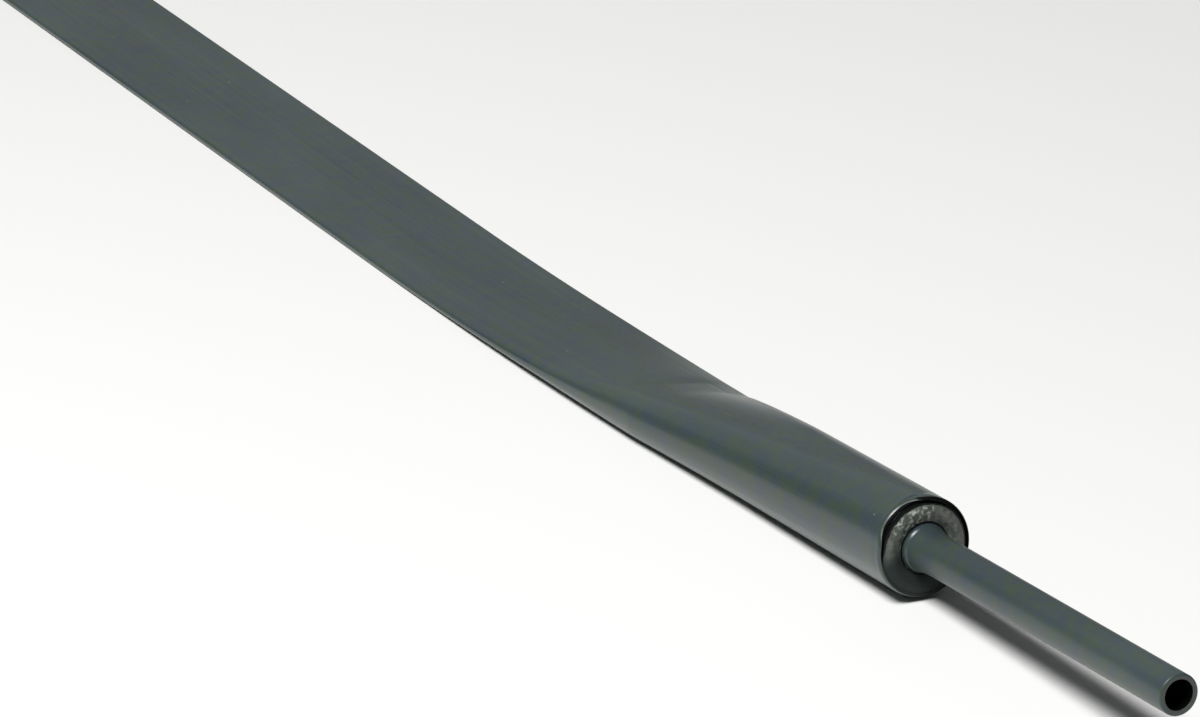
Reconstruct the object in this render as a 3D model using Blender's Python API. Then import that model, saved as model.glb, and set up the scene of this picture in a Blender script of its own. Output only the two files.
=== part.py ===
"""Heat shrink tube, one metre of black thin-wall stock with one end already shrunk.

The tube lies along X. Its far end is flat, as the tube comes off the roll, and rests on the
ground. Towards +X it opens to its full round bore, ends in a folded-in shoulder and carries
on as the narrow shrunk end. It is one piece and open at both ends. Metres, +Z up, with the
origin on the ground below the middle of the tube.
"""

import bpy
import bmesh
import numpy as np

OBJECT_NAME = "heat_shrink_tube"

# Lengths along the tube
TOTAL_LENGTH = 1.0
SHRUNK_LENGTH = 0.0612

# The tube as it is supplied and as it is once shrunk, both outside, and the shrunk wall
SUPPLIED_DIAMETER = 0.0133
SHRUNK_DIAMETER = 0.0054
SHRUNK_WALL = 0.0007

# The flat stretch: radius of the two folded edges, to the middle of the wall, and how far the
# top and bottom always stand out beyond the circles of the two edges
FOLD_RADIUS = 0.00043
LEAST_CROWN_RISE = 2e-8

# How the round end lies: it climbs a little towards the shoulder, which hangs just clear. The
# ground presses the underside flat, so its contact ends in a rounded front: past the flat
# stretch the middle stays down for CONTACT_ROUND after the edges have left, and before it the
# top swells over SWELL_LENGTH. From there on the belly slowly leaves the ground.
NOSE_CLIMB_PER_METRE = 0.0604
SHOULDER_CLEARANCE = 0.00043
BELLY_CLEARANCE = 0.00018
CONTACT_ROUND = 0.012
SWELL_LENGTH = 0.06
RISE_BLEND = 0.0021
ROUND_BLEND = 0.00025

# Where each folded edge starts to open and where it is fully round, back from the shoulder.
# A power over 1 keeps the fold sharp for longer, one under 1 opens it at once.
NEAR_EDGE_STARTS = 0.134
NEAR_EDGE_ENDS = 0.029
NEAR_EDGE_POWER = 2.5
FAR_EDGE_STARTS = 0.063
FAR_EDGE_ENDS = 0.004
FAR_EDGE_POWER = 0.42

# The shoulder: a rolled lip, the groove inside it, a domed face and a crease round the neck
LIP_ROUND = 0.0009
LIP_INNER_ROUND = 0.00005
LIP_TURN = 48
GROOVE_WIDTH = 0.0003
GROOVE_DEPTH = 0.0007
FACE_SETBACK = 0.00005
FACE_DOME = 0.00035
CREASE_WIDTH = 0.0002
CREASE_DEPTH = 0.00018
COLLAR_HEIGHT = 0.00055
COLLAR_ROUND = 0.0009
FLARE_LENGTH = 0.0045
INNER_CORNER_RADIUS = 0.0003

# How finely the skin is divided, and how closely its curves are worked out
FLAT_SPACING = 0.09
OPENING_SPACING = 0.0055
TOP_SEGMENTS = 14
FOLD_SEGMENTS = 3
CORNER_SEGMENTS = 3
FACE_SEGMENTS = 4
FLARE_SEGMENTS = 5
SHRUNK_SEGMENTS = 4
SLOPE_STEP = 1e-6
HALVINGS = 60
FLATTEST_CROWN = 1e7
CREASE_ANGLE = 50

# What follows from these: shrinking keeps the amount of material in each cross-section
SHRUNK_RADIUS = SHRUNK_DIAMETER / 2
SUPPLIED_RADIUS = SUPPLIED_DIAMETER / 2
WALL_AREA = SHRUNK_WALL * (SHRUNK_DIAMETER - SHRUNK_WALL)
SUPPLIED_WALL = (SUPPLIED_DIAMETER - np.sqrt(SUPPLIED_DIAMETER**2 - 4 * WALL_AREA)) / 2
GIRTH = np.pi * (SUPPLIED_DIAMETER - SUPPLIED_WALL)
ROUND_RADIUS = GIRTH / (2 * np.pi)
FLAT_HALF_HEIGHT = FOLD_RADIUS + SUPPLIED_WALL / 2
NOSE_ANGLE = np.arctan(NOSE_CLIMB_PER_METRE)
SHOULDER_HEIGHT = SUPPLIED_RADIUS + SHOULDER_CLEARANCE
TIP_REACH = SHRUNK_LENGTH * np.cos(NOSE_ANGLE) + SHRUNK_RADIUS * np.sin(NOSE_ANGLE)
SHOULDER_X = TOTAL_LENGTH / 2 - TIP_REACH
CLIMB = SHOULDER_HEIGHT - FLAT_HALF_HEIGHT + RISE_BLEND
FLAT_END_X = SHOULDER_X - CLIMB / NOSE_CLIMB_PER_METRE
CONTACT_END_X = FLAT_END_X + CONTACT_ROUND
CONTACT_SWELL = (NOSE_CLIMB_PER_METRE * CONTACT_ROUND) ** 2 / (4 * RISE_BLEND)


def soft_max(a, b, blend):
    """The larger of two values, rounded over where they differ by less than the blend."""
    near = np.maximum(blend - np.abs(a - b), 0) / blend
    return np.maximum(a, b) + near**2 * blend / 4


def eased(value, start, end):
    """0 before start, 1 after end, with a smooth S between."""
    t = np.clip((value - start) / (end - start), 0, 1)
    return t * t * (3 - 2 * t)


def middle_height(x):
    """Height of the tube's middle line: level along the flat stretch, then a straight climb."""
    climb = SHOULDER_HEIGHT + NOSE_CLIMB_PER_METRE * (x - SHOULDER_X)
    return soft_max(climb, FLAT_HALF_HEIGHT, RISE_BLEND)


def middle_frame(x):
    """A point of the middle line, the direction along it, and the direction across it and up."""
    rise = middle_height(x + SLOPE_STEP) - middle_height(x - SLOPE_STEP)
    slope = rise / (2 * SLOPE_STEP)
    along = np.array([1, 0, slope]) / np.hypot(1, slope)
    up = np.array([-along[2], 0, along[0]])
    return np.array([x, 0, middle_height(x)]), along, up


def section_shape(x):
    """Half height and the radii of the near and the far edge of the wall's middle at x."""
    back = x - SHOULDER_X
    belly = BELLY_CLEARANCE * np.clip(1 - back / (CONTACT_END_X - SHOULDER_X), 0, 1)
    swollen = FLAT_HALF_HEIGHT + CONTACT_SWELL * eased(x, FLAT_END_X - SWELL_LENGTH, FLAT_END_X)
    reach = max(middle_height(x) - belly, swollen)
    half = -soft_max(-reach, -SUPPLIED_RADIUS, ROUND_BLEND) - SUPPLIED_WALL / 2
    growth = ROUND_RADIUS - FOLD_RADIUS
    near_share = eased(back, -NEAR_EDGE_STARTS, -NEAR_EDGE_ENDS) ** NEAR_EDGE_POWER
    far_share = eased(back, -FAR_EDGE_STARTS, -FAR_EDGE_ENDS) ** FAR_EDGE_POWER
    largest = half - LEAST_CROWN_RISE
    near = min(FOLD_RADIUS + growth * near_share, largest)
    far = min(FOLD_RADIUS + growth * far_share, largest)
    return half, near, far


def edge_turn(half, edge, crown):
    """Angle from the vertical at which the crown's arc gives way to the edge's arc."""
    return 2 * np.arcsin(np.sqrt((half - edge) / (2 * (crown - edge))))


def crown_radius(half, near, far):
    """Radius of the top and bottom arcs that keeps the tube's girth, found by halving."""
    low, high = half, half * FLATTEST_CROWN
    for _ in range(HALVINGS):
        crown = np.sqrt(low * high)
        near_turn = edge_turn(half, near, crown)
        far_turn = edge_turn(half, far, crown)
        girth = 2 * crown * (near_turn + far_turn)
        girth += near * (np.pi - 2 * near_turn) + far * (np.pi - 2 * far_turn)
        if girth > GIRTH:
            high = crown
        else:
            low = crown
    return crown


def girth_shares():
    """Places round half the girth, from the far edge over the top to the near edge, 0 to 1."""
    fold = FOLD_RADIUS * np.pi / GIRTH
    edge = np.linspace(0, fold, FOLD_SEGMENTS + 1)
    top = np.linspace(fold, 1 - fold, TOP_SEGMENTS + 1)
    return np.concatenate([edge, top[1:-1], 1 - edge[::-1]])


def half_section(x, shares):
    """Points (across, up) and outward normals of the wall's middle over the top half at x."""
    half, near, far = section_shape(x)
    crown = crown_radius(half, near, far)
    near_turn, far_turn = edge_turn(half, near, crown), edge_turn(half, far, crown)
    drop = crown - half
    far_centre = (crown - far) * np.sin(far_turn)
    near_centre = -(crown - near) * np.sin(near_turn)
    shift = -(far_centre + far + near_centre - near) / 2
    far_arc = far * (np.pi / 2 - far_turn)
    crown_arc = crown * (near_turn + far_turn)
    points, normals = [], []
    for distance in shares * GIRTH / 2:
        if distance < far_arc:
            angle = distance / far
            centre, radius = (far_centre, 0), far
        elif distance < far_arc + crown_arc:
            angle = np.pi / 2 - far_turn + (distance - far_arc) / crown
            centre, radius = (0, -drop), crown
        else:
            angle = np.pi / 2 + near_turn + (distance - far_arc - crown_arc) / near
            centre, radius = (near_centre, 0), near
        normal = np.array([np.cos(angle), np.sin(angle)])
        points.append(np.array(centre) + radius * normal + np.array([shift, 0]))
        normals.append(normal)
    return np.array(points), np.array(normals)


def full_loop(points):
    """A half loop's points with those of its mirror image below, as one closed loop."""
    return np.concatenate([points, points[-2:0:-1] * np.array([1, -1])])


def body_ring(x, shares, offset):
    """The tube's cross-section at x in space, the offset being out from the wall's middle.

    The ground holds up whatever would reach below it: the outside at its own level, the
    inside a wall's thickness above.
    """
    origin, _, up = middle_frame(x)
    points, normals = half_section(x, shares)
    loop = full_loop(points + offset * normals)
    ring = origin + loop[:, :1] * np.array([0, 1, 0]) + loop[:, 1:] * up
    ring[:, 2] = np.maximum(ring[:, 2], SUPPLIED_WALL / 2 - offset)
    return ring


def round_ring(advance, radius, shares):
    """A circle about the nose's axis, the advance being measured on from the shoulder."""
    origin, along, up = middle_frame(SHOULDER_X)
    angles = np.pi * shares
    loop = full_loop(radius * np.stack([np.cos(angles), np.sin(angles)], axis=1))
    return origin + advance * along + loop[:, :1] * np.array([0, 1, 0]) + loop[:, 1:] * up


def arc(centre, radius, start, end, segments):
    """Points (advance, radius) on an arc, with angles from the tube's axis in degrees."""
    angles = np.radians(np.linspace(start, end, segments + 1))
    return [(centre[0] + radius * np.cos(a), centre[1] + radius * np.sin(a)) for a in angles]


def straight_run(start, segments):
    """Points (advance, radius) straight on from start to the shrunk tip, start left out."""
    advances = np.linspace(start[0], SHRUNK_LENGTH, segments + 1)[1:]
    return [(advance, start[1]) for advance in advances]


def lip_profile():
    """The rolled lip: its wide outer round up to LIP_TURN, then the small one into the groove."""
    turn = np.radians(LIP_TURN)
    reach = LIP_ROUND - LIP_INNER_ROUND
    outer = (-LIP_INNER_ROUND - reach * np.cos(turn), SUPPLIED_RADIUS - LIP_ROUND)
    inner = (-LIP_INNER_ROUND, outer[1] + reach * np.sin(turn))
    profile = arc(outer, LIP_ROUND, 90, LIP_TURN, CORNER_SEGMENTS)
    return profile + arc(inner, LIP_INNER_ROUND, LIP_TURN, -90, CORNER_SEGMENTS)[1:]


def outer_profile():
    """Outside of the shoulder and the shrunk end, as (advance, radius), from lip to tip."""
    profile = lip_profile()
    groove_round = GROOVE_WIDTH / 2
    groove_middle = profile[-1][1] - groove_round
    crease_round = CREASE_WIDTH / 2
    collar_foot = SHRUNK_RADIUS + COLLAR_HEIGHT
    crease_middle = collar_foot + crease_round
    groove_floor = (groove_round - GROOVE_DEPTH, groove_middle)
    profile += arc(groove_floor, groove_round, 90, 270, CORNER_SEGMENTS + 1)
    face_top = groove_middle - groove_round
    face_foot = crease_middle + crease_round
    for way in np.linspace(0, 1, FACE_SEGMENTS + 1):
        dome = FACE_DOME * np.sin(np.pi * way)
        profile += [(dome - FACE_SETBACK, face_top + way * (face_foot - face_top))]
    profile += [(-FACE_SETBACK - CREASE_DEPTH, crease_middle)]
    profile += arc((0, collar_foot - COLLAR_ROUND), COLLAR_ROUND, 90, 45, CORNER_SEGMENTS - 1)
    collar_end, collar_radius = profile[-1]
    for i in range(1, FLARE_SEGMENTS + 1):
        share = i / FLARE_SEGMENTS
        swell = (1 - share) ** 2 * (collar_radius - SHRUNK_RADIUS)
        profile += [(collar_end + share * FLARE_LENGTH, SHRUNK_RADIUS + swell)]
    return profile + straight_run(profile[-1], SHRUNK_SEGMENTS)


def inner_profile():
    """Inside of the shoulder and the shrunk end, as (advance, radius), from body to tip."""
    back = -GROOVE_DEPTH - SUPPLIED_WALL
    bore = SHRUNK_RADIUS - SHRUNK_WALL
    corner = SUPPLIED_RADIUS - SUPPLIED_WALL - INNER_CORNER_RADIUS
    mouth = bore + COLLAR_HEIGHT
    profile = arc((back - INNER_CORNER_RADIUS, corner), INNER_CORNER_RADIUS, 90, 0, CORNER_SEGMENTS)
    profile += arc((back + COLLAR_HEIGHT, mouth), COLLAR_HEIGHT, 180, 270, CORNER_SEGMENTS)
    return profile + straight_run(profile[-1], SHRUNK_SEGMENTS)


def body_stations():
    """Places along X of the tube's cross-sections.

    They are far apart where it is flat. At the contact's front there is one where each point
    of the underside leaves the ground, which in plan is on half an ellipse.
    """
    start = -TOTAL_LENGTH / 2
    round_start = SHOULDER_X - GROOVE_DEPTH - SUPPLIED_WALL - 2 * INNER_CORNER_RADIUS
    flat_count = round((FLAT_END_X - start) / FLAT_SPACING)
    opening_count = round((round_start - CONTACT_END_X) / OPENING_SPACING)
    flat = np.linspace(start, FLAT_END_X, flat_count + 1)
    across = np.linspace(1, 0, TOP_SEGMENTS // 2 + 1)
    front = FLAT_END_X + CONTACT_ROUND * np.sqrt(1 - across**2)
    opening = np.linspace(CONTACT_END_X, round_start, opening_count + 1)
    return np.concatenate([flat, front[1:], opening[1:]])


def skin_rings(shares, offset, profile):
    """All the loops of one skin, from the flat cut end to the shrunk tip."""
    rings = [body_ring(x, shares, offset) for x in body_stations()]
    return rings + [round_ring(advance, radius, shares) for advance, radius in profile]


def add_rings(mesh, rings):
    """Vertices for each ring, as a list of loops."""
    return [[mesh.verts.new(point) for point in ring] for ring in rings]


def join_rings(mesh, first, second, outward):
    """A band of four-sided faces between two loops that have as many points."""
    count = len(first)
    for i in range(count):
        j = (i + 1) % count
        corners = (first[i], first[j], second[j], second[i])
        mesh.faces.new(corners if outward else corners[::-1])


def tube_material():
    """Black cross-linked plastic with a soft sheen."""
    material = bpy.data.materials.new("black_polyolefin")
    material.use_nodes = True
    shader = material.node_tree.nodes["Principled BSDF"]
    shader.inputs["Base Color"].default_value = (0.045, 0.053, 0.051, 1)
    shader.inputs["Roughness"].default_value = 0.48
    shader.inputs["Metallic"].default_value = 0
    return material


def make_tube(collection):
    """The whole tube as one closed body: two skins, joined at the two cut ends."""
    shares = girth_shares()
    mesh = bmesh.new()
    outer = add_rings(mesh, skin_rings(shares, SUPPLIED_WALL / 2, outer_profile()))
    inner = add_rings(mesh, skin_rings(shares, -SUPPLIED_WALL / 2, inner_profile()))
    for first, second in zip(outer, outer[1:]):
        join_rings(mesh, first, second, outward=False)
    for first, second in zip(inner, inner[1:]):
        join_rings(mesh, first, second, outward=True)
    join_rings(mesh, outer[0], inner[0], outward=True)
    join_rings(mesh, outer[-1], inner[-1], outward=False)
    bmesh.ops.recalc_face_normals(mesh, faces=mesh.faces)
    data = bpy.data.meshes.new("tube")
    mesh.to_mesh(data)
    mesh.free()
    data.shade_smooth()
    data.set_sharp_from_angle(angle=np.radians(CREASE_ANGLE))
    data.materials.append(tube_material())
    tube = bpy.data.objects.new("tube", data)
    collection.objects.link(tube)


def clear_scene():
    """Removes whatever the scene held."""
    for thing in list(bpy.data.objects):
        bpy.data.objects.remove(thing, do_unlink=True)


def make_object():
    """Clears the scene and makes the tube in a collection of its own."""
    clear_scene()
    collection = bpy.data.collections.new(OBJECT_NAME)
    bpy.context.scene.collection.children.link(collection)
    make_tube(collection)


make_object()
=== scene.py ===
"""Looks of a metre of black heat shrink tube with one end already shrunk.

The tube is one piece of extruded plastic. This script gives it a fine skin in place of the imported
model's coarse one, a procedural material, a pale floor, soft studio light and the photo's view.
"""

import bpy
import numpy as np
from mathutils import Matrix, Vector


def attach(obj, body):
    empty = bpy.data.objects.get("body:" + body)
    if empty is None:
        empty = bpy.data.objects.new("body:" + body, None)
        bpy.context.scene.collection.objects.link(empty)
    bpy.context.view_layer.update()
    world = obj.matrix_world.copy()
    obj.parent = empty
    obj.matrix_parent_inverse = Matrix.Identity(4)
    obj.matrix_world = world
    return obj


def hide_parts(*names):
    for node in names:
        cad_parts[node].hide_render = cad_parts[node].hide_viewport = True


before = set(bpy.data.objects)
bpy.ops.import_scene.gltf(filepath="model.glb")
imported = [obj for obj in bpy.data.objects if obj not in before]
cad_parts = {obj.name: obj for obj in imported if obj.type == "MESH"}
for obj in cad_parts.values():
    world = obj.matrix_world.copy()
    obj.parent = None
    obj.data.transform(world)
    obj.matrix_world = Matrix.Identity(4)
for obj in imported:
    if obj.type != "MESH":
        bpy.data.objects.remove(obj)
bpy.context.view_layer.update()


# The tube's skin from the flat end to the shoulder.
# It is thin extruded tube that has been rolled flat on its reel, so it has two folded edges. The
# folds open towards the shoulder at different rates, while the girth round the wall stays the same.

total_length = 1.0
shrunk_length = 0.0612
supplied_diameter = 0.0133
shrunk_diameter = 0.0054
shrunk_wall = 0.0007
fold_radius = 0.00043
least_crown_rise = 2e-8
flattest_crown = 1e7
halvings = 60

# How it lies: the round end climbs by nose_climb to each metre. The weight presses the underside
# flat on the floor, and that contact ends in a rounded front where the tube leaves the floor.
nose_climb = 0.0604
shoulder_clearance = 0.00043
belly_clearance = 0.00018
contact_round = 0.012
swell_length = 0.06
rise_blend = 0.0021
round_blend = 0.00025
slope_step = 1e-6

# Where each folded edge starts to open and is fully open, from the shoulder, and how it goes. A
# power above 1 keeps the fold sharp for longer, and one below 1 opens it at once.
near_edge_opens = (-0.134, -0.029)
near_edge_power = 2.5
far_edge_opens = (-0.063, -0.004)
far_edge_power = 0.42

# Soft film is never quite even: the height of its dents, and two waves in them, each with a
# length along the tube to the radian and the radians that it turns across half the girth.
unevenness = 0.00002
slow_waves = ((0.0071, 4), (0.0043, -9))

supplied_radius = supplied_diameter / 2
shrunk_radius = shrunk_diameter / 2
wall_area = shrunk_wall * (shrunk_diameter - shrunk_wall)
supplied_wall = (supplied_diameter - np.sqrt(supplied_diameter**2 - 4 * wall_area)) / 2
girth = np.pi * (supplied_diameter - supplied_wall)
round_radius = girth / (2 * np.pi)
flat_half_height = fold_radius + supplied_wall / 2
nose_angle = np.arctan(nose_climb)
shoulder_height = supplied_radius + shoulder_clearance
shoulder_x = total_length / 2 - shrunk_length * np.cos(nose_angle)
shoulder_x -= shrunk_radius * np.sin(nose_angle)
flat_end_x = shoulder_x - (shoulder_height - flat_half_height + rise_blend) / nose_climb
contact_end_x = flat_end_x + contact_round
contact_swell = (nose_climb * contact_round) ** 2 / (4 * rise_blend)
sideways = np.array([0, 1, 0])


def rounded_larger(a, b, blend):
    """The larger of a and b, plus a quarter of the blend times the square of how near they are:
    the blend less their difference, over the blend."""
    near = np.maximum(blend - np.abs(a - b), 0) / blend
    return np.maximum(a, b) + near**2 * blend / 4


def eased(value, start, end):
    """Three times the square of the way from start to end, less twice its cube."""
    way = np.clip((value - start) / (end - start), 0, 1)
    return way * way * (3 - 2 * way)


def middle_height(x):
    """The greater of the flat stretch's half height and a straight climb to the shoulder."""
    climb = shoulder_height + nose_climb * (x - shoulder_x)
    return rounded_larger(climb, flat_half_height, rise_blend)


def middle_line(x):
    """Points on the middle line at each x, with its direction along and its direction up. Its
    slope is the rise over a small step, and up is along turned by a right angle."""
    rise = middle_height(x + slope_step) - middle_height(x - slope_step)
    slope = rise / (2 * slope_step)
    along = np.stack([np.ones_like(x), 0 * x, slope], -1) / np.hypot(1, slope)[..., None]
    up = np.stack([-along[..., 2], 0 * x, along[..., 0]], -1)
    return np.stack([x, 0 * x, middle_height(x)], -1), along, up


def crown_turn(half, edge, crown):
    """Angle off the vertical where an arc of the crown's radius meets one of the edge's radius:
    twice the arcsine of the root of half height less edge over twice crown less edge."""
    return 2 * np.arcsin(np.sqrt((half - edge) / (2 * (crown - edge))))


def half_loops(x, shares):
    """The wall's middle over the top half of the section at each x, with its outward normals.

    A section is a lens: a circle of one radius at the far edge, another at the near edge, and a
    wide arc between them, above and below. The wide arc's radius is halved in on until the whole
    loop is as long as the girth. Points lie along it at the given shares of half the girth.
    """
    back = x - shoulder_x
    belly = belly_clearance * np.clip(1 - back / (contact_end_x - shoulder_x), 0, 1)
    swollen = flat_half_height + contact_swell * eased(x, flat_end_x - swell_length, flat_end_x)
    reach = np.maximum(middle_height(x) - belly, swollen)
    half = -rounded_larger(-reach, -supplied_radius, round_blend) - supplied_wall / 2
    growth = round_radius - fold_radius
    near = fold_radius + growth * eased(back, *near_edge_opens) ** near_edge_power
    far = fold_radius + growth * eased(back, *far_edge_opens) ** far_edge_power
    near = np.minimum(near, half - least_crown_rise)
    far = np.minimum(far, half - least_crown_rise)
    low, high = half, half * flattest_crown
    for _ in range(halvings):
        crown = np.sqrt(low * high)
        near_turn, far_turn = crown_turn(half, near, crown), crown_turn(half, far, crown)
        length = 2 * crown * (near_turn + far_turn)
        length += near * (np.pi - 2 * near_turn) + far * (np.pi - 2 * far_turn)
        high = np.where(length > girth, crown, high)
        low = np.where(length > girth, low, crown)
    far_centre = (crown - far) * np.sin(far_turn)
    near_centre = -(crown - near) * np.sin(near_turn)
    shift = (-(far_centre + far + near_centre - near) / 2)[:, None]
    far_arc = (far * (np.pi / 2 - far_turn))[:, None]
    crown_arc = (crown * (near_turn + far_turn))[:, None]
    crown, half, near, far = (v[:, None] for v in (crown, half, near, far))
    near_turn, far_turn = near_turn[:, None], far_turn[:, None]
    far_centre, near_centre = far_centre[:, None], near_centre[:, None]
    distance = shares * girth / 2
    places = [distance < far_arc, distance >= far_arc + crown_arc]
    angle = np.select(
        places,
        [distance / far, np.pi / 2 + near_turn + (distance - far_arc - crown_arc) / near],
        np.pi / 2 - far_turn + (distance - far_arc) / crown,
    )
    cosine, sine = np.cos(angle), np.sin(angle)
    edges_across = [far_centre + far * cosine, near_centre + near * cosine]
    across = np.select(places, edges_across, crown * cosine)
    above = np.select(places, [far * sine, near * sine], crown * sine - (crown - half))
    return np.stack([across + shift, above], -1), np.stack([cosine, sine], -1)


def closed_loops(top):
    """Top half loops followed by their mirror image below, end points taken once."""
    return np.concatenate([top, top[:, -2:0:-1] * np.array([1, -1])], axis=1)


def body_skin(x, shares, offset):
    """Rings of points in space at each x: the wall's middle plus the offset along its normal,
    less a few hundredths of a millimetre that the slow waves take off it, and held up by the
    floor: the outside at its level, the inside a wall's thickness above."""
    points, normals = half_loops(x, shares)
    waves = sum(np.sin(x / length + turn * shares[:, None]) for length, turn in slow_waves)
    dents = unevenness * (1 + waves.T / 2) * np.sin(np.pi * shares) ** 2
    loop = closed_loops(points + (offset - dents[..., None]) * normals)
    origin, _, up = middle_line(x)
    skin = origin[:, None] + loop[..., :1] * sideways + loop[..., 1:] * up[:, None]
    skin[..., 2] = np.maximum(skin[..., 2], supplied_wall / 2 - offset)
    return skin


# The shoulder and the shrunk end, which go on from that skin.
# Heat drew the tube down on to a thin rod. The full wall folded in over itself and left a rolled
# lip, a dark groove inside it, a rough face, and a collar that flares down to the narrow end.

lip_round = 0.0009
lip_inner_round = 0.00005
lip_turn = 48
groove_width = 0.0003
groove_depth = 0.0007
face_setback = 0.00005
face_dome = 0.00035
crease_width = 0.00026
crease_depth = 0.00035
collar_height = 0.00055
collar_round = 0.0009
collar_turn = 45
flare_length = 0.0045
inner_corner_radius = 0.0003
cut_outer_round = 0.00028
cut_inner_round = 0.00006
bore_behind_rim = 0.0002

# The lip stays this much inside the solid's round, so that the skin never passes the solid's box.
box_margin = 2e-6

# The heat was uneven. The lip is pulled back at one place, with the skin for so far behind it.
# The groove widens inwards, most where its direction in radians says, from a part of the way
# round its floor. Its edge wanders in waves: a share of the widening, waves round, and a start.
lip_pull = 0.00095
pulled_skin = 0.0015
groove_widens = 0.00012
groove_widest = 0.35
groove_widens_from = 0.3
groove_wander = ((0.12, 5, 1), (0.08, 11, 0), (0.12, 19, 2), (0.1, 31, 0))

# Parts of the round: the direction of the part's middle in degrees, from the far side over the
# top, and the cosines of the angle off it between which the part comes in.
underside = (263, -0.05, 0.5)
pulled_part = (128, 0.75, 0.98)


def facing(angles, direction, start, end):
    """0 to 1, eased, as the cosine of the angle off a direction goes from start to end."""
    return eased(np.cos(angles - np.radians(direction)), start, end)


def arc(centre, radius, start, end, count):
    """Points (advance, radius) on a circle, by cosine and sine of angles from the tube's axis."""
    angles = np.radians(np.linspace(start, end, count))
    return np.array(centre) + radius * np.stack([np.cos(angles), np.sin(angles)], -1)


def flare(start, count):
    """From start down to the shrunk radius: the height left falls with the square of the way."""
    way = np.linspace(0, 1, count)[1:]
    radius = shrunk_radius + (1 - way) ** 2 * (start[1] - shrunk_radius)
    return np.stack([start[0] + way * flare_length, radius], -1)


def lip_profile():
    """The rolled lip: a wide outer round up to where it turns in, then a small one inwards."""
    reach = lip_round - lip_inner_round
    turn = np.radians(lip_turn)
    outer = (-lip_inner_round - reach * np.cos(turn), supplied_radius - lip_round - box_margin)
    inner = (-lip_inner_round, outer[1] + reach * np.sin(turn))
    rolled_in = arc(inner, lip_inner_round, lip_turn, -90, 7)[1:]
    return arc(outer, lip_round, 90, lip_turn, 13), rolled_in


def outside_profile():
    """Outside from behind the lip to the cut tip, as named stretches of points (advance, radius).

    Every round is an arc of a circle. The face is a ring whose middle stands out by a sine.
    """
    lip, tuck = lip_profile()
    rear = np.linspace((-pulled_skin, lip[0, 1]), lip[0], 6)[:-1]
    groove_round = groove_width / 2
    groove_middle = tuck[-1, 1] - groove_round
    face_top = groove_middle - groove_round
    collar_foot = shrunk_radius + collar_height
    crease_middle = collar_foot + crease_width / 2
    groove = arc((groove_round - groove_depth, groove_middle), groove_round, 90, 270, 13)
    way = np.linspace(0, 1, 21)
    face_radius = face_top + way * (crease_middle + crease_width / 2 - face_top)
    face = np.stack([-face_setback + face_dome * np.sin(np.pi * way), face_radius], -1)
    crease_bottom = (-face_setback - crease_depth, crease_middle)
    crease = arc(crease_bottom, crease_width / 4, 90, 270, 5)
    collar = arc((0, collar_foot - collar_round), collar_round, 90, collar_turn, 9)
    flared = flare(collar[-1], 24)
    cut = (shrunk_length - cut_outer_round, shrunk_radius - cut_outer_round)
    straight = np.linspace(flared[-1], (cut[0], shrunk_radius), 30)[1:]
    tip = arc(cut, cut_outer_round, 90, 0, 9)[1:]
    neck = np.concatenate([flared, straight])
    front = {"rear": rear, "lip": lip, "tuck": tuck, "groove": groove, "face": face}
    return {**front, "crease": crease, "collar": collar, "neck": neck, "tip": tip}


def inside_profile():
    """Inside from the cut tip back to the body, as named stretches of points (advance, radius)."""
    back = -groove_depth - supplied_wall
    bore = shrunk_radius - shrunk_wall
    corner = supplied_radius - supplied_wall - inner_corner_radius
    cut = (shrunk_length - cut_inner_round, bore + cut_inner_round)
    rim = arc(cut, cut_inner_round, 0, -90, 5)
    mouth = arc((back + collar_height, bore + collar_height), collar_height, 270, 180, 9)
    straight = np.linspace(rim[-1] - (bore_behind_rim, 0), mouth[0], 24)[:-1]
    end = arc((back - inner_corner_radius, corner), inner_corner_radius, 0, 90, 7)
    return {"rim": rim, "bore": np.concatenate([straight, mouth, end])}


def angles_round(shares):
    """Angles of the points on a ring, from the far side over the top and back underneath."""
    return np.concatenate([np.pi * shares, 2 * np.pi - np.pi * shares[-2:0:-1]])


def nose_skin(stretches, shares):
    """Rings in space about the nose's axis: a circle of each radius at each advance.

    The groove widens inwards by half its widening times one plus the cosine of the angle, with
    some wander, and the face gives way to it. Its depth fades out round the underside. The lip
    is pulled back, and the skin behind it with it, the less the farther behind.
    """
    angles = angles_round(shares)
    origin, along, up = middle_line(np.array(shoulder_x))
    profile = np.concatenate(list(stretches.values()))
    sinking, widening, pulling = (np.zeros(len(profile)) for _ in range(3))
    if "groove" in stretches:
        rear_end = len(stretches["rear"])
        lip_end = rear_end + len(stretches["lip"]) + len(stretches["tuck"])
        groove_end = lip_end + len(stretches["groove"])
        face_end = groove_end + len(stretches["face"])
        pulling[:rear_end] = np.linspace(0, 1, rear_end + 1)[:-1]
        pulling[rear_end:lip_end] = 1
        sinking[lip_end:groove_end] = profile[lip_end:groove_end, 0]
        across_groove = np.linspace(0, 1, groove_end - lip_end)
        widening[lip_end:groove_end] = eased(across_groove, groove_widens_from, 1)
        widening[groove_end:face_end] = np.linspace(1, 0, face_end - groove_end)
    wander = sum(size * np.sin(waves * angles + start) for size, waves, start in groove_wander)
    steps = groove_widens * (0.5 + 0.5 * np.cos(angles - groove_widest) + wander)
    advance = profile[:, :1] - sinking[:, None] * facing(angles, *underside)
    advance = advance - lip_pull * pulling[:, None] * facing(angles, *pulled_part)
    radius = profile[:, 1:] - widening[:, None] * steps
    rings = origin + advance[..., None] * along
    rings = rings + (radius * np.cos(angles))[..., None] * sideways
    return rings + (radius * np.sin(angles))[..., None] * up


# One closed skin made of both, with what the material needs to know at each point.
# Outside from the flat cut end to the shrunk tip, then back inside, so the grid of rings closes on
# itself in both directions and the wall has its true thickness everywhere.

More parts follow.
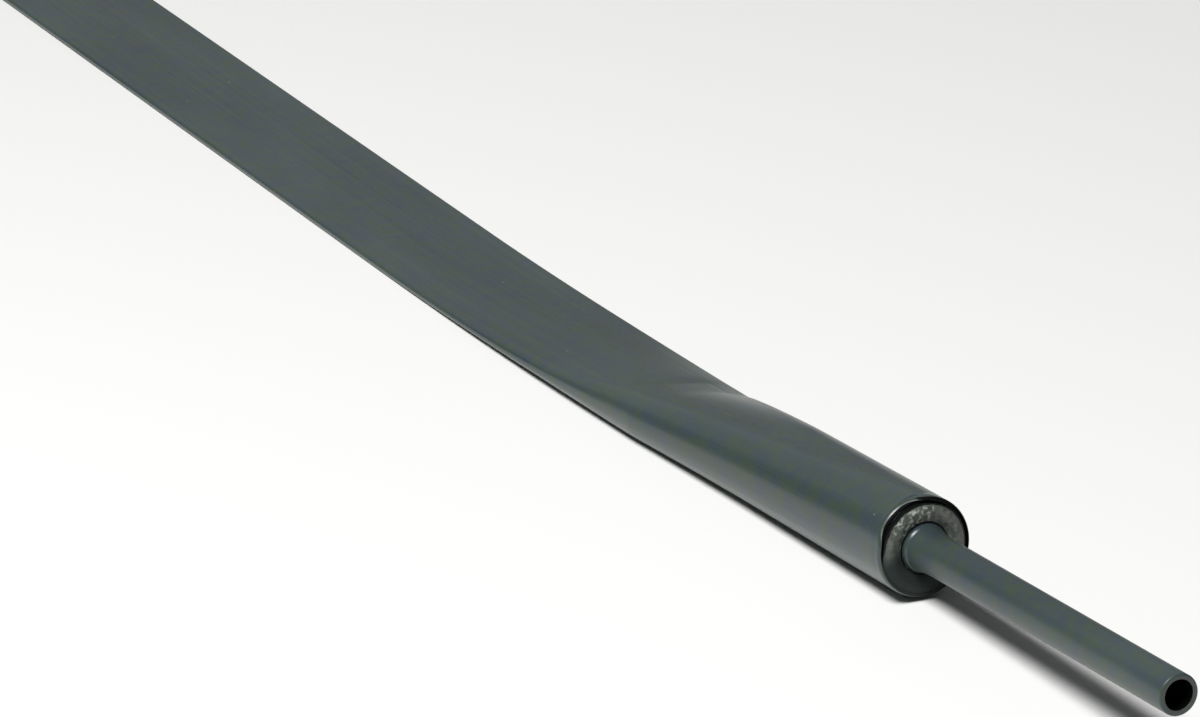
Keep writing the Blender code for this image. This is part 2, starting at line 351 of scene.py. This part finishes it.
fold_share = fold_radius * np.pi / girth
folded_edge = np.linspace(0, fold_share, 11)
open_face = np.linspace(fold_share, 1 - fold_share, 47)
shares = np.concatenate([folded_edge, open_face[1:-1], 1 - folded_edge[::-1]])

flat_start_x = -total_length / 2
round_start_x = shoulder_x - groove_depth - supplied_wall - 2 * inner_corner_radius


def stations(flat_count, opening_count):
    """Places along the tube: so many evenly on the flat stretch, and so many on to the nose."""
    flat = np.linspace(flat_start_x, flat_end_x, flat_count)
    return np.concatenate([flat, np.linspace(flat_end_x, round_start_x, opening_count)[1:]])


fine_x, coarse_x = stations(80, 150), stations(24, 60)
outside, inside = outside_profile(), inside_profile()
rings = np.concatenate([
    body_skin(fine_x, shares, supplied_wall / 2),
    nose_skin(outside, shares),
    nose_skin(inside, shares),
    body_skin(coarse_x[::-1], shares, -supplied_wall / 2),
])
ring_count, point_count = rings.shape[:2]

# A place for the patterns: the skin as if the tube were round and straight from end to end.
around = angles_round(shares)
nose_points = np.concatenate([*outside.values(), *inside.values()])
along_skin = np.concatenate([fine_x, shoulder_x + nose_points[:, 0], coarse_x[::-1]])
round_size = np.concatenate([
    supplied_radius + 0 * fine_x,
    nose_points[:, 1],
    supplied_radius + 0 * coarse_x,
])
unrolled = np.stack([
    along_skin[:, None] + 0 * around,
    round_size[:, None] * np.cos(around),
    round_size[:, None] * np.sin(around),
], -1)

# More parts of the round, given as above: where pale crumbs and a painted highlight lie on the
# face, where the crease's painted shade is deeper, and where the lip is painted in shade, which is
# everywhere but on its near side.
crumb_and_highlight_part = (112, 0.2, 0.9)
crease_dark_part = (130, -0.2, 0.6)
lip_dark_part = (25, -0.75, -0.3)
crease_least_dark = 0.3
# How much of the groove's painted shade spills on to the face's first rings.
face_edge_dark = (0.8, 0.6, 0.4, 0.2, 0)

stretches = {"body": fine_x, **outside, **inside, "lining": coarse_x}
stretch_of_ring = np.repeat(list(stretches), [len(points) for points in stretches.values()])


def over(names, share):
    """The share round the tube on the rings of the named stretches, and 0 on the others."""
    return np.isin(stretch_of_ring, names)[:, None] * share


whole, under = np.ones(point_count), facing(around, *underside)
lip_share = facing(around, *lip_dark_part)
lip_dark = (1 - under) * (1 - facing(around, *pulled_part)) * lip_share
crease_dark = crease_least_dark + (1 - crease_least_dark) * facing(around, *crease_dark_part)
masks = {
    "face": over(["face"], 1 - under),
    # Crumbs on the face's upper side, partly a painted highlight.
    "crumbs_and_highlight": over(["face"], facing(around, *crumb_and_highlight_part)),
    # The underside of the tuck, groove, face and lip is painted in shade.
    "painted_underside_shade": over(["tuck", "groove", "face"], under) + over(["lip"], under * lip_share),
    # The tuck, the groove and most of the lip are painted black as shade.
    "dark": over(["tuck", "groove"], 1 - under) + over(["lip"], lip_dark),
    "neck": over(["neck", "tip"], whole),
    "cut": over(["rim"], whole),
}
# The crease is painted black as shade, deeper towards its top, and so is the whole bore.
masks["dark"] += over(["crease"], crease_dark) + over(["bore"], whole)
# The face's first rings take a fading share of the groove's painted shade.
face_edge = np.flatnonzero(stretch_of_ring == "face")[:len(face_edge_dark)]
masks["dark"][face_edge] = np.array(face_edge_dark)[:, None] * (1 - under)
masks["cut"][[0, -1]] = 1
masks["dull"] = np.maximum(np.maximum(masks["face"], masks["cut"]), masks["painted_underside_shade"])
masks["shaded"] = np.maximum(masks["dark"], masks["painted_underside_shade"])

# Each face goes round before it goes along, so that it points outwards.
here = np.arange(ring_count)[:, None] * point_count + np.arange(point_count)
ahead = np.roll(here, -1, axis=0)
quads = np.stack([here, np.roll(here, -1, axis=1), np.roll(ahead, -1, axis=1), ahead], -1)
sharp_edge = 60

tube_mesh = bpy.data.meshes.new("tube_skin")
tube_mesh.from_pydata(rings.reshape(-1, 3).tolist(), [], quads.reshape(-1, 4).tolist())
place_layer = tube_mesh.attributes.new("unrolled", "FLOAT_VECTOR", "POINT")
place_layer.data.foreach_set("vector", unrolled.ravel())
for name, mask in masks.items():
    layer = tube_mesh.attributes.new(name, "FLOAT", "POINT")
    layer.data.foreach_set("value", mask.ravel())
tube_mesh.shade_smooth()
tube_mesh.set_sharp_from_angle(angle=np.radians(sharp_edge))
tube_mesh.validate()
tube_skin = bpy.data.objects.new("tube_skin", tube_mesh)
bpy.context.scene.collection.objects.link(tube_skin)


# The tube's material: cross-linked polyolefin, extruded and expanded.
# To the eye it is a dark grey-green plastic with a soft sheen, faint lines from the die along its
# length, a fine grain, a little dust, and a rougher, paler skin where heat folded it. Shade is
# painted in: dark under the shoulder, and black in the groove, the crease, the bore and most of the
# lip. Some of the crumbs at the top of the face are a painted highlight.

polyolefin_dark = "#2B3836"
polyolefin_pale = "#404D49"
pigment_blue = "#37424F"
pigment_green = "#3D4A39"
folded_dark = "#464C47"
folded_pale = "#70756D"
# Pale crumbs, partly a painted highlight.
crumb_and_highlight_white = "#B4B8AE"
# Painted shade for the underside of the shoulder.
underside_shade_colour = "#2A302E"
# Black painted shade for the groove, the crease, the bore and most of the lip.
painted_shade_black = "#0B0E0D"
cut_wall = "#474945"
dust_grey = "#9FA39A"
polyolefin_ior = 1.51


def linear(colour):
    """sRGB hex to linear: a twelfth part below 0.04, else the 2.4th power of the shifted value."""
    value = np.array([int(colour[i : i + 2], 16) for i in (1, 3, 5)]) / 255
    curve = np.where(value <= 0.04045, value / 12.92, ((value + 0.055) / 1.055) ** 2.4)
    return (*curve.tolist(), 1)


def add_node(tree, kind, inputs=None, result=0, **settings):
    """Adds a node of this kind with these settings, links or sets each named input, and gives
    the socket of its result, or the node where it has none."""
    node = tree.nodes.new(kind)
    for name, value in settings.items():
        setattr(node, name, value)
    for name, value in (inputs or {}).items():
        if isinstance(value, bpy.types.NodeSocket):
            tree.links.new(value, node.inputs[name])
        else:
            node.inputs[name].default_value = linear(value) if isinstance(value, str) else value
    return node.outputs[result] if len(node.outputs) else node


polyolefin = bpy.data.materials.new("black_polyolefin_extruded")
polyolefin.use_nodes = True
tree = polyolefin.node_tree
tree.nodes.clear()

skin_place = add_node(tree, "ShaderNodeAttribute", result="Vector", attribute_name="unrolled")
on_skin = {
    name: add_node(tree, "ShaderNodeAttribute", result="Fac", attribute_name=name)
    for name in masks
}

# In a Mix node, 0 is the share. Colours go in at 6 and 7 and come out at 2, and numbers go in at 2
# and 3 and come out at 0.

# Cloudy patches about 14 mm across and three times as long, as the pigment settles.
stretched = add_node(tree, "ShaderNodeMapping", {"Vector": skin_place, "Scale": (0.33, 1, 1)})
clouds = add_node(tree, "ShaderNodeTexNoise", {
    "Vector": stretched, "Scale": 70, "Detail": 3, "Roughness": 0.5,
})
cloud_share = add_node(tree, "ShaderNodeMapRange", {
    "Value": clouds, "From Min": 0.35, "From Max": 0.65,
})
body_colour = add_node(tree, "ShaderNodeMix", {
    0: cloud_share, 6: polyolefin_dark, 7: polyolefin_pale,
}, 2, data_type="RGBA")

# Flecks of bluish and greenish pigment, 2.4 mm across, which the eye sees as a mottled grey.
flecks = add_node(tree, "ShaderNodeTexNoise", {
    "Vector": skin_place, "Scale": 420, "Detail": 3, "Roughness": 0.6,
})
fleck_share = add_node(tree, "ShaderNodeMapRange", {
    "Value": flecks, "From Min": 0.4, "From Max": 0.6,
})
fleck_colour = add_node(tree, "ShaderNodeMix", {
    0: fleck_share, 6: pigment_blue, 7: pigment_green,
}, 2, data_type="RGBA")
mottled_colour = add_node(tree, "ShaderNodeMix", {
    0: 0.5, 6: body_colour, 7: fleck_colour,
}, 2, data_type="RGBA")

# The folded face is puckered in patches of 0.6 mm, with pale crumbs at its top that are partly a
# painted highlight.
puckers = add_node(tree, "ShaderNodeTexNoise", {
    "Vector": skin_place, "Scale": 1600, "Detail": 3, "Roughness": 0.6,
})
pucker_share = add_node(tree, "ShaderNodeMapRange", {
    "Value": puckers, "From Min": 0.38, "From Max": 0.66,
})
puckered_colour = add_node(tree, "ShaderNodeMix", {
    0: pucker_share, 6: folded_dark, 7: folded_pale,
}, 2, data_type="RGBA")
crumb_and_highlight_sum = add_node(tree, "ShaderNodeMath", {0: on_skin["crumbs_and_highlight"], 1: puckers}, operation="ADD")
crumb_and_highlight_share = add_node(tree, "ShaderNodeMapRange", {
    "Value": crumb_and_highlight_sum, "From Min": 1.5, "From Max": 1.66,
})
folded_colour = add_node(tree, "ShaderNodeMix", {
    0: crumb_and_highlight_share, 6: puckered_colour, 7: crumb_and_highlight_white,
}, 2, data_type="RGBA")

# The same puckers fray the edge of the black painted shade: in the groove, the crease and the bore.
frayed = add_node(tree, "ShaderNodeMath", {0: on_skin["dark"], 1: puckers}, operation="ADD")
black_share = add_node(tree, "ShaderNodeMapRange", {
    "Value": frayed, "From Min": 0.85, "From Max": 1,
})

# Specks of dust, 0.2 mm across and soft at the edge, one for each 7 mm or so of skin.
dust_distance = add_node(tree, "ShaderNodeTexVoronoi", {
    "Vector": skin_place, "Scale": 150, "Randomness": 1,
}, "Distance")
dust_share = add_node(tree, "ShaderNodeMapRange", {
    "Value": dust_distance, "From Min": 0.016, "From Max": 0.03, "To Min": 0.55, "To Max": 0,
})

# The colours lie over one another in this order. The underside's dark and the black are painted
# shade.
colour = mottled_colour
for share, layer in (
    (dust_share, dust_grey),
    (on_skin["face"], folded_colour),
    (on_skin["painted_underside_shade"], underside_shade_colour),
    (black_share, painted_shade_black),
    (on_skin["cut"], cut_wall),
):
    colour = add_node(tree, "ShaderNodeMix", {0: share, 6: colour, 7: layer}, 2, data_type="RGBA")

# The sheen is uneven with the die lines, which lie about 0.6 mm apart and run the tube's length.
# It is duller on the shrunk end, and dull on the folded face, the underside painted in shade
# and the cut.
drawn_out = add_node(tree, "ShaderNodeMapping", {"Vector": skin_place, "Scale": (0.008, 1, 1)})
die_lines = add_node(tree, "ShaderNodeTexNoise", {
    "Vector": drawn_out, "Scale": 1600, "Detail": 2, "Roughness": 0.6,
})
body_roughness = add_node(tree, "ShaderNodeMapRange", {
    "Value": die_lines, "From Min": 0.3, "From Max": 0.7, "To Min": 0.26, "To Max": 0.34,
})
roughness = add_node(tree, "ShaderNodeMix", {0: on_skin["neck"], 2: body_roughness, 3: 0.42})
roughness = add_node(tree, "ShaderNodeMix", {0: on_skin["dull"], 2: roughness, 3: 0.5})
shine = add_node(tree, "ShaderNodeMix", {0: on_skin["shaded"], 2: 0.5, 3: 0.15})

# Relief: die lines 0.003 mm high, a fine grain of 0.4 mm that is drawn coarser than the real one
# so that it shows, and a puckered face.
lined = add_node(tree, "ShaderNodeBump", {"Height": die_lines, "Strength": 1, "Distance": 3e-6})
grain = add_node(tree, "ShaderNodeTexNoise", {
    "Vector": skin_place, "Scale": 2600, "Detail": 3, "Roughness": 0.65,
})
grained = add_node(tree, "ShaderNodeBump", {
    "Height": grain, "Strength": 1, "Distance": 8e-6, "Normal": lined,
})
puckered = add_node(tree, "ShaderNodeBump", {
    "Height": puckers, "Strength": on_skin["dull"], "Distance": 1.2e-4, "Normal": grained,
})

shader = add_node(tree, "ShaderNodeBsdfPrincipled", {
    "Base Color": colour, "Roughness": roughness, "Specular IOR Level": shine,
    "IOR": polyolefin_ior, "Normal": puckered,
})
add_node(tree, "ShaderNodeOutputMaterial", {"Surface": shader})

tube_mesh.materials.append(polyolefin)
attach(tube_skin, "root")
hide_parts("tube")


# The floor: a pale matt studio table, level with what the tube rests on.
# It is one painted sheet, far wider than the tube is long.

floor_half = 4.0
floor_colour = "#F6F6F4"
floor_roughness = 0.7

floor_paint = bpy.data.materials.new("pale_matt_table")
floor_paint.use_nodes = True
floor_shader = floor_paint.node_tree.nodes["Principled BSDF"]
floor_shader.inputs["Base Color"].default_value = linear(floor_colour)
floor_shader.inputs["Roughness"].default_value = floor_roughness
corner_signs = ((-1, -1), (1, -1), (1, 1), (-1, 1))
corners = [(floor_half * x, floor_half * y, 0) for x, y in corner_signs]
floor_mesh = bpy.data.meshes.new("floor")
floor_mesh.from_pydata(corners, [], [(0, 1, 2, 3)])
floor_mesh.materials.append(floor_paint)
floor = bpy.data.objects.new("floor", floor_mesh)
bpy.context.scene.collection.objects.link(floor)


# The light: two soft boxes in a dim room.
# One hangs over the round end, a little towards the viewer, and draws the bright lines on the lip
# and the collar. The other stands behind the flat end and gives the top its cool, even sheen.

room_white = "#FFFFFF"
room_strength = 0.05


def soft_box(name, place, aim, size, power, colour):
    """A rectangular area light at a place, turned to face its aim, with its size in metres and
    its power in watts."""
    data = bpy.data.lights.new(name, "AREA")
    data.shape = "RECTANGLE"
    data.size, data.size_y = size
    data.energy = power
    data.color = linear(colour)[:3]
    lamp = bpy.data.objects.new(name, data)
    lamp.location = place
    lamp.rotation_euler = (Vector(aim) - Vector(place)).to_track_quat("-Z", "Y").to_euler()
    bpy.context.scene.collection.objects.link(lamp)


soft_box("overhead_soft_box", (0.64, -0.6, 1.15), (0.4, 0, 0), (0.6, 0.45), 21, "#FFFFFF")
soft_box("rear_soft_box", (-1.5, 0.3, 0.95), (0.4, 0, 0.1), (2.6, 1.15), 3.55, "#F4FAFF")

room = bpy.data.worlds.new("dim_room")
room.use_nodes = True
room_light = room.node_tree.nodes["Background"]
room_light.inputs["Color"].default_value = linear(room_white)
room_light.inputs["Strength"].default_value = room_strength
bpy.context.scene.world = room
bpy.context.scene.view_settings.view_transform = "Standard"


# The camera: the photograph's view, worked out from the tube's outlines in it.
# It stands a metre off, above and to the near side of the shrunk end, with a long lens.

camera_turn = np.radians(-27.5774)
camera_height = np.radians(21.1882)
camera_roll = np.radians(0.3898)
camera_distance = 1.03926
camera_aim = np.array([0.3454576, 0.0022079, 0])
focal_pixels = 7587.28
image_width = 1200
nearest_seen, farthest_seen = 0.05, 50

level = np.cos(camera_height)
back = np.array([np.cos(camera_turn) * level, np.sin(camera_turn) * level, np.sin(camera_height)])
right = np.array([-np.sin(camera_turn), np.cos(camera_turn), 0])
above = np.cross(back, right)
rolled_right = right * np.cos(camera_roll) + above * np.sin(camera_roll)
rolled_up = above * np.cos(camera_roll) - right * np.sin(camera_roll)

camera_data = bpy.data.cameras.new("camera")
camera_data.sensor_width = 36
camera_data.lens = focal_pixels * camera_data.sensor_width / image_width
camera_data.clip_start, camera_data.clip_end = nearest_seen, farthest_seen
camera = bpy.data.objects.new("camera", camera_data)
place = np.eye(4)
place[:3, 0], place[:3, 1], place[:3, 2] = rolled_right, rolled_up, back
place[:3, 3] = camera_aim + back * camera_distance
camera.matrix_world = Matrix(place.tolist())
bpy.context.scene.collection.objects.link(camera)
bpy.context.scene.camera = camera
